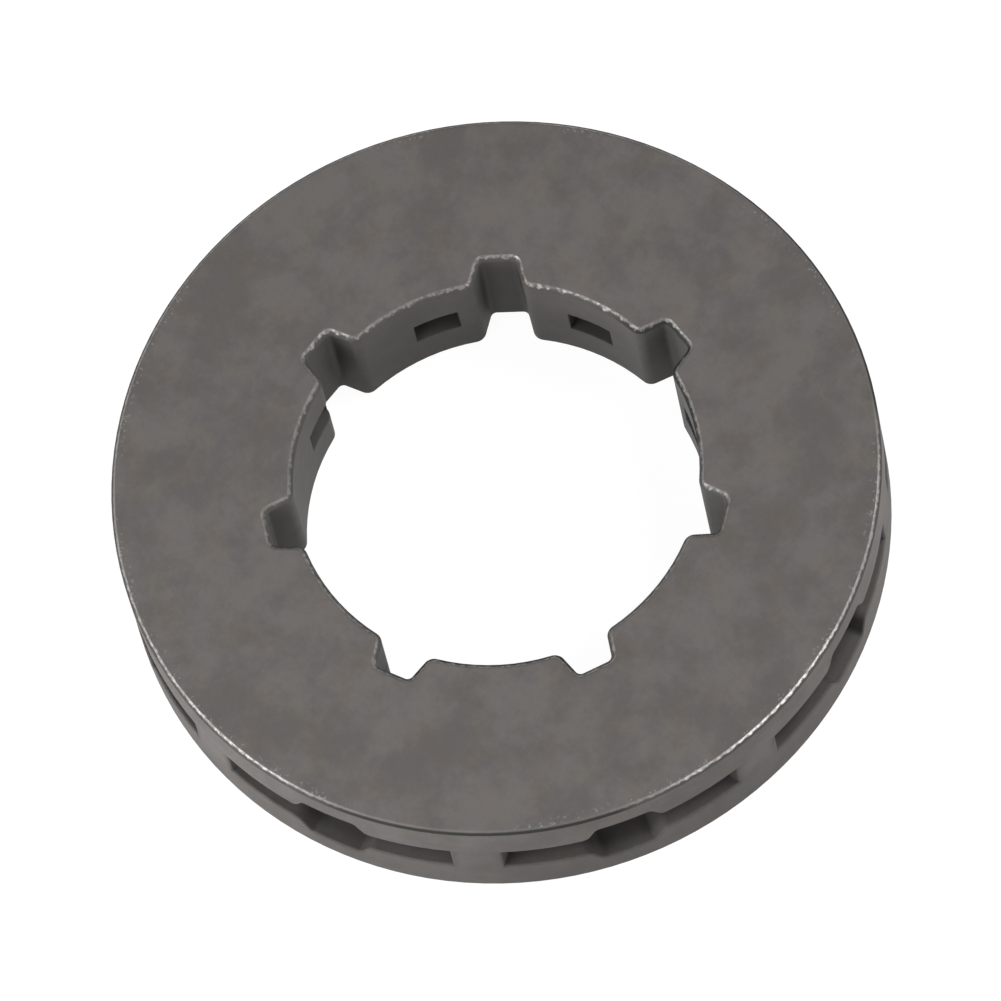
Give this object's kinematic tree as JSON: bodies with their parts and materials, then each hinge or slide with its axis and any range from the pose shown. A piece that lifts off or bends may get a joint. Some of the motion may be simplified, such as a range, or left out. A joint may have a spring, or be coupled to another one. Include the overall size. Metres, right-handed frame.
{
  "type": "chainsaw rim sprocket",
  "caption": "Flat steel ring that drives a saw chain: a splined bore slides on the hub of a clutch drum, and slotted pockets round the rim take the tangs of the drive links.",
  "frame": {"origin": "centre of the bottom face, on the axis of the bore", "axes": "+Z along the axis of the bore, +X through the spline notch that lines up with a chain pocket"},
  "size_m": [0.036, 0.036, 0.0065],
  "materials": {
    "dark_steel": "matte dark grey steel, with bright worn edges"
  },
  "bodies": {
    "root": {"rim_sprocket": "dark_steel"}
  },
  "joints": []
}
